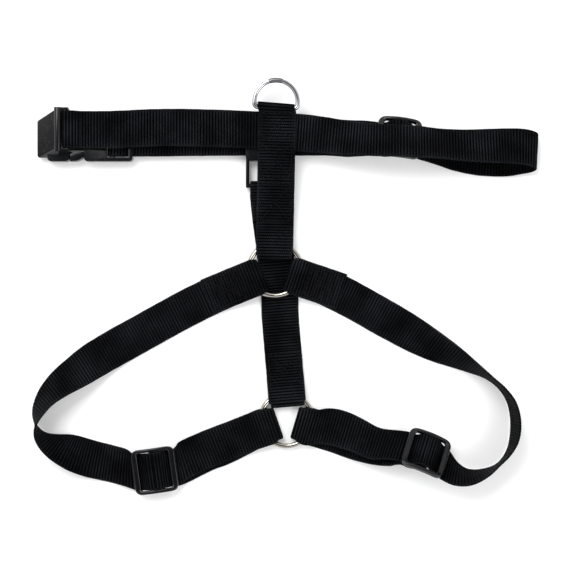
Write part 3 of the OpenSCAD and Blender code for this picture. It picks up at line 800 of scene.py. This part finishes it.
def make_leash_ring():
    half, bend = (D_RING_W - D_RING_WIRE_D) / 2, D_RING_BEND_R
    quarter = np.arange(BEND_STEPS + 1) / BEND_STEPS * math.pi / 2
    crown = [(half * math.cos(a), D_RING_LEG + half * math.sin(a), 0)
             for a in np.arange(CROWN_STEPS + 1) / CROWN_STEPS * math.pi]
    path = [(-half + bend + k * (2 * half - 2 * bend) / 12, 0, 0) for k in range(12)]
    path += [(half - bend + bend * math.sin(a), bend - bend * math.cos(a), 0) for a in quarter]
    path += crown
    path += [(-half + bend - bend * math.cos(a), bend - bend * math.sin(a), 0) for a in quarter]
    path = [p for i, p in enumerate(path) if i == 0 or math.dist(p, path[i - 1]) > 0.05]
    path = turned_about(path, D_BAR_AT, D_RING_YAW - 90)
    ring = sweep("leash_ring_wire", path, [(D_RING_WIRE_D, D_RING_WIRE_D)] * len(path), CHROME,
                 around=24)
    sleeve = turned_about(crown[WELD_FIRST:WELD_LAST + 1], D_BAR_AT, D_RING_YAW - 90)
    steps = WELD_LAST - WELD_FIRST
    swell = [D_RING_WIRE_D + 0.35 * math.sin(math.pi * k / steps) ** 0.4 + 0.02
             for k in range(steps + 1)]
    weld = sweep("leash_ring_weld", sleeve, [(w, w) for w in swell], WELD, closed=False,
                 around=24)
    rides(ring, "leash_ring", "leash_d_ring")
    rides(weld, "leash_ring")


make_round_ring("upper_ring_wire", UPPER_RING_AT, "upper_ring", "upper_o_ring")
make_round_ring("lower_ring_wire", LOWER_RING_AT, "lower_ring", "lower_o_ring")
make_leash_ring()


# ---------- tri-glides ----------


def glide_top(x):
    """Height of a tri-glide's arched top at a distance from its middle bar."""
    return GLIDE_ARCH_Z - GLIDE_ARCH_R + math.sqrt(GLIDE_ARCH_R ** 2 - x ** 2)


def make_triglide(name, glide, body, node):
    rail = (GLIDE_W - GLIDE_WINDOW_W) / 2
    outline = rounded_outline(GLIDE_L - GLIDE_END_W, GLIDE_W - rail, GLIDE_CORNER_R)
    path, sizes = [], []
    for x, y in outline:
        top = glide_top(x)
        base = GLIDE_BASE_Z + GLIDE_BASE_RISE * (1 - (x / (GLIDE_L / 2)) ** 2)
        at_end = min(1.0, max(0.0, (abs(x) - GLIDE_L / 2 + FLARE_START) / FLARE_L))
        path.append((x, y, (top + base) / 2))
        sizes.append((rail + (GLIDE_END_W - rail) * at_end, top - base))
    path = turned_about(path, glide["at"], glide["yaw"], glide["roll"])
    up = np.array(turned_about([(0, 0, 1)], (0, 0, 0), glide["yaw"], glide["roll"]))[0]
    loop = sweep(name, path, sizes, PLASTIC, power=3.6, around=28, up=up)
    bar = [(0, y, 0) for y in np.linspace(-GLIDE_BAR_L / 2, GLIDE_BAR_L / 2, 12)]
    bar = turned_about(bar, glide["at"], glide["yaw"], glide["roll"])
    middle = sweep(f"{name}_bar", bar, [(GLIDE_BAR_D, GLIDE_BAR_D)] * len(bar), PLASTIC,
                   closed=False, around=20, up=up)
    piece = joined(name, [loop, middle])
    rides(piece, body, node)


make_triglide("left_tri_glide", LEFT_GLIDE, "left_adjuster", "left_triglide")
make_triglide("right_tri_glide", RIGHT_GLIDE, "right_adjuster", "right_triglide")
make_triglide("girth_tri_glide", GIRTH_GLIDE, "girth_adjuster", "girth_triglide")


# ---------- buckle and keeper ----------


def moulded(name, node, body, bevel):
    """A CAD piece with its edges rounded as moulding leaves them."""
    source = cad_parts[node]
    piece = bpy.data.objects.new(name, source.data.copy())
    piece.data.name = name
    bpy.context.scene.collection.objects.link(piece)
    piece.data.materials.clear()
    piece.data.materials.append(PLASTIC)
    bm = bmesh.new()
    bm.from_mesh(piece.data)
    bmesh.ops.remove_doubles(bm, verts=bm.verts, dist=1e-6)
    bmesh.ops.dissolve_limit(bm, angle_limit=math.radians(4), verts=bm.verts, edges=bm.edges)
    bm.to_mesh(piece.data)
    bm.free()
    rounding = piece.modifiers.new("rounding", "BEVEL")
    rounding.width = bevel * MM
    rounding.segments = 3
    rounding.limit_method = "ANGLE"
    rounding.angle_limit = math.radians(35)
    bpy.context.view_layer.objects.active = piece
    bpy.ops.object.modifier_apply(modifier="rounding")
    piece.data.polygons.foreach_set("use_smooth", [True] * len(piece.data.polygons))
    piece.data.set_sharp_from_angle(angle=math.radians(40))
    rides(piece, body, node)


moulded("buckle_receiver_body", "buckle_receiver", "harness", 0.5)
moulded("buckle_plug_body", "buckle_plug", "buckle_insert", 0.45)
moulded("buckle_prong_arm_upper", "buckle_prong_upper", "upper_prong", 0.4)
moulded("buckle_prong_arm_lower", "buckle_prong_lower", "lower_prong", 0.4)
moulded("belly_keeper_body", "belly_keeper", "keeper", 0.5)


# ---------- stitching ----------

STITCH_L = 2.7
STITCH_GAP = 0.35
STITCH_W = 0.62
STITCH_SIDES = 8
STITCH_RINGS = [(0.0, 0.25, -0.2), (0.15, 0.85, 0.12), (0.5, 1.0, 0.2), (0.85, 0.85, 0.12),
                (1.0, 0.25, -0.2)]  # each is (share of the length, share of the width, rise)
THREAD_LIFT = WEBBING_T / 2 + 0.12
BOX_HALF = 10.2
BACK_BOX_HALF = 10.3
FILL_HALF = 9.2


def stitch_rows(line, corners, above):
    """Stitches along straight rows; a corner is (distance along, place across)."""
    verts, faces = [], []
    s0 = line["s"][0]
    for (sa, ua), (sb, ub) in corners:
        count = max(1, int(math.hypot(sb - sa, ub - ua) / (STITCH_L + STITCH_GAP)))
        for k in range(count):
            ends = []
            for f in ((k + 0.06) / count, (k + 0.94) / count):
                s, u = sa + (sb - sa) * f, ua + (ub - ua) * f
                i = min(int(np.searchsorted(line["s"], s + s0)), len(line["s"]) - 1)
                ends.append((line["middle"][i] + line["side"][i] * u
                             + line["face"][i] * above, line["face"][i] * np.sign(above)))
            (a, up), (b, _) = ends
            ahead = unit(b - a)
            out = np.cross(ahead, up)
            base = len(verts)
            for share, girth, rise in STITCH_RINGS:
                middle = a + (b - a) * share + up * rise
                for j in range(STITCH_SIDES):
                    t = math.radians(360 / STITCH_SIDES * j)
                    verts.append(middle + (out * math.cos(t) + up * math.sin(t))
                                 * STITCH_W / 2 * girth)
            faces += [tuple(base + n for n in f)
                      for f in grid_faces(len(STITCH_RINGS), STITCH_SIDES)]
            faces.append(tuple(range(base + STITCH_SIDES - 1, base - 1, -1)))
            faces.append(tuple(range(len(verts) - STITCH_SIDES, len(verts))))
    return verts, faces


def box_and_cross(s0, s1, half):
    """The rows of a sewn box with a cross in it."""
    return [((s0, -half), (s1, -half)), ((s1, -half), (s1, half)), ((s1, half), (s0, half)),
            ((s0, half), (s0, -half)), ((s0, -half), (s1, half)), ((s0, half), (s1, -half))]


def zigzag(s0, s1, half, turns=11):
    """A dense zigzag that fills a sewn patch."""
    step = (s1 - s0) / turns
    return [((s0 + k * step, half * (-1) ** k), (s0 + (k + 1) * step, -half * (-1) ** k))
            for k in range(turns)]


def make_stitching(name, route, boxes, above, node, filled=()):
    """All the sewing of one strap; a box or filled patch is (from, to, half width)."""
    corners = [row for patch in filled for row in zigzag(*patch)]
    for s0, s1, half in boxes:
        corners += box_and_cross(s0, s1, half)
    verts, faces = stitch_rows(line_of(route), corners, above)
    piece = new_object(name, verts, faces, THREAD)
    rides(piece, "harness", node)


make_stitching("back_strap_stitches", BACK_TOP,
               [(76, 94, BACK_BOX_HALF), (50, 73, BACK_BOX_HALF), (20, 46, BACK_BOX_HALF)],
               THREAD_LIFT, "back_stitching")
make_stitching("left_tail_stitches", LEFT_TAIL, [(2.5, 26, BOX_HALF)], -THREAD_LIFT,
               "left_tail_stitching", [(5, 23, FILL_HALF)])
make_stitching("right_tail_stitches", RIGHT_TAIL, [(2.5, 25, BOX_HALF)], -THREAD_LIFT,
               "right_tail_stitching", [(5, 22.5, FILL_HALF)])
make_stitching("belly_tail_stitches", BELLY_TAIL, [(2.5, 24, BOX_HALF)], -THREAD_LIFT,
               "belly_stitching")
